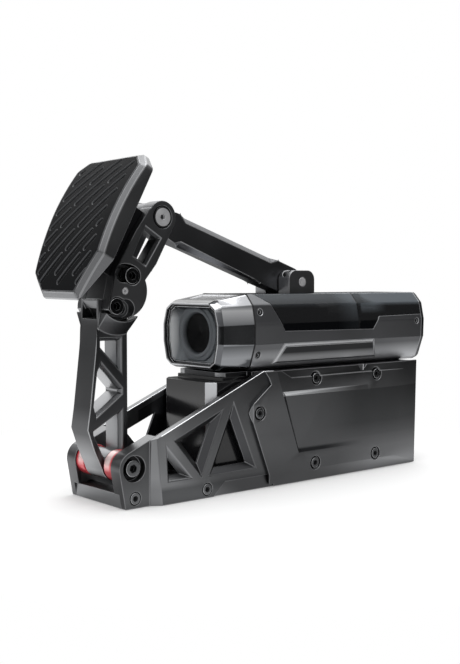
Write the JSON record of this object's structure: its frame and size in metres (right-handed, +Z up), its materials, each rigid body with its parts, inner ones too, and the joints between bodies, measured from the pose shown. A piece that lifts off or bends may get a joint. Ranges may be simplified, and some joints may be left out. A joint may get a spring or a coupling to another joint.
{
  "type": "motor-driven racing simulator pedal",
  "caption": "Single force-feedback foot pedal: truss arm on a slim base, push rod, ball screw in an upper tube, and a belt-driven motor behind side covers.",
  "frame": {"origin": "centre of the four base mounting holes, on the underside of the base plate", "axes": "+X to the rear, away from the driver; +Y to the driver's left; +Z up"},
  "size_m": [0.3908, 0.0986, 0.2747],
  "materials": {
    "black_anodised": "satin black anodised",
    "dark_satin_arm": "fine blasted black anodised",
    "satin_cap": "satin dark silver",
    "tray_black": "satin black",
    "black_steel": "black oxide",
    "bright_steel": "ground",
    "bearing_steel": "ground",
    "red_anodised": "red anodised",
    "gloss_black": "gloss",
    "smoked_clear": "smoked clear",
    "inner_black": "satin black",
    "carriage_black": "satin black anodised",
    "cell_silver": "machined",
    "belt_rubber": "matte",
    "tread_rubber": "ribbed",
    "board_green": "satin"
  },
  "bodies": {
    "frame": {"side_plate_left": "black_anodised", "side_plate_right": "black_anodised", "front_crossbar": "black_anodised", "base_plate": "black_anodised", "pivot_axle": "bright_steel", "axle_bolts": "black_steel", "bearing_flange_left": "red_anodised", "bearing_flange_right": "red_anodised", "frame_screws": "black_steel", "belt_housing": "gloss_black", "saddle_plate": "black_anodised", "motor_frame": "inner_black", "motor_end_bell": "inner_black", "motor_bearings": "bearing_steel", "motor_stator": "bright_steel", "drive_belt": "belt_rubber", "rear_panel": "black_anodised", "power_socket": "inner_black", "data_sockets": "inner_black", "controller_board": "board_green", "board_standoffs": "inner_black", "motor_cover_left": "black_anodised", "motor_cover_right": "black_anodised", "cover_screws": "black_steel", "tube_shell": "black_anodised", "tube_top_cover": "smoked_clear", "tube_screws": "black_steel", "rear_cap": "black_anodised", "front_cap": "satin_cap", "front_lens": "smoked_clear", "lens_ring": "inner_black", "front_bearing_block": "inner_black", "rear_bearing_block": "inner_black", "screw_bearings": "bearing_steel", "guide_rods": "bright_steel"},
    "motor": {"motor_rotor": "bright_steel", "motor_pulley": "cell_silver"},
    "screw": {"ball_screw": "bright_steel", "screw_pulley": "cell_silver"},
    "carriage": {"carriage_block": "carriage_black", "ball_nut": "carriage_black", "load_cell": "cell_silver", "clevis": "carriage_black", "clevis_screws": "black_steel", "clevis_pin": "bright_steel"},
    "pedal_arm": {"lower_arm": "dark_satin_arm", "hub_bearings": "bearing_steel", "upper_arm_left": "dark_satin_arm", "upper_arm_right": "dark_satin_arm", "arm_clamp_screws": "black_steel", "arm_centre_screws": "bright_steel", "top_pivot_bolt": "bright_steel", "pedal_bracket": "dark_satin_arm", "foot_plate": "tray_black", "tread_pad": "tread_rubber", "pedal_screws": "black_steel"},
    "link": {"link_rod": "dark_satin_arm", "rod_bearings": "bearing_steel"}
  },
  "joints": [
    {"name": "pedal_hinge", "type": "hinge", "parent": "frame", "child": "pedal_arm", "pos_m": [-0.156, 0, 0.031], "axis": [0, 1, 0], "range_deg": [0, 16], "stiffness_Nm_per_rad": 20, "springref_deg": -5.73},
    {"name": "rod_hinge", "type": "hinge", "parent": "pedal_arm", "child": "link", "pos_m": [-0.1162, 0, 0.2277], "axis": [0, 1, 0], "range_deg": [-23, 0.5]},
    {"name": "carriage_slide", "type": "slide", "parent": "frame", "child": "carriage", "axis": [1, 0, 0], "range_m": [0, 0.0585]},
    {"name": "screw_spin", "type": "hinge", "parent": "frame", "child": "screw", "pos_m": [0.035, 0, 0.132], "axis": [1, 0, 0], "range_deg": [0, 1050]},
    {"name": "motor_spin", "type": "hinge", "parent": "frame", "child": "motor", "pos_m": [0.035, 0, 0.05], "axis": [1, 0, 0], "range_deg": [0, 1050]}
  ],
  "couplings": [
    {"joint": "rod_hinge", "follows": "pedal_hinge", "ratio": -1.393},
    {"joint": "carriage_slide", "follows": "pedal_hinge", "m_per_rad": 0.20775},
    {"joint": "screw_spin", "follows": "pedal_hinge", "ratio": 65.267},
    {"joint": "motor_spin", "follows": "pedal_hinge", "ratio": 65.267}
  ]
}
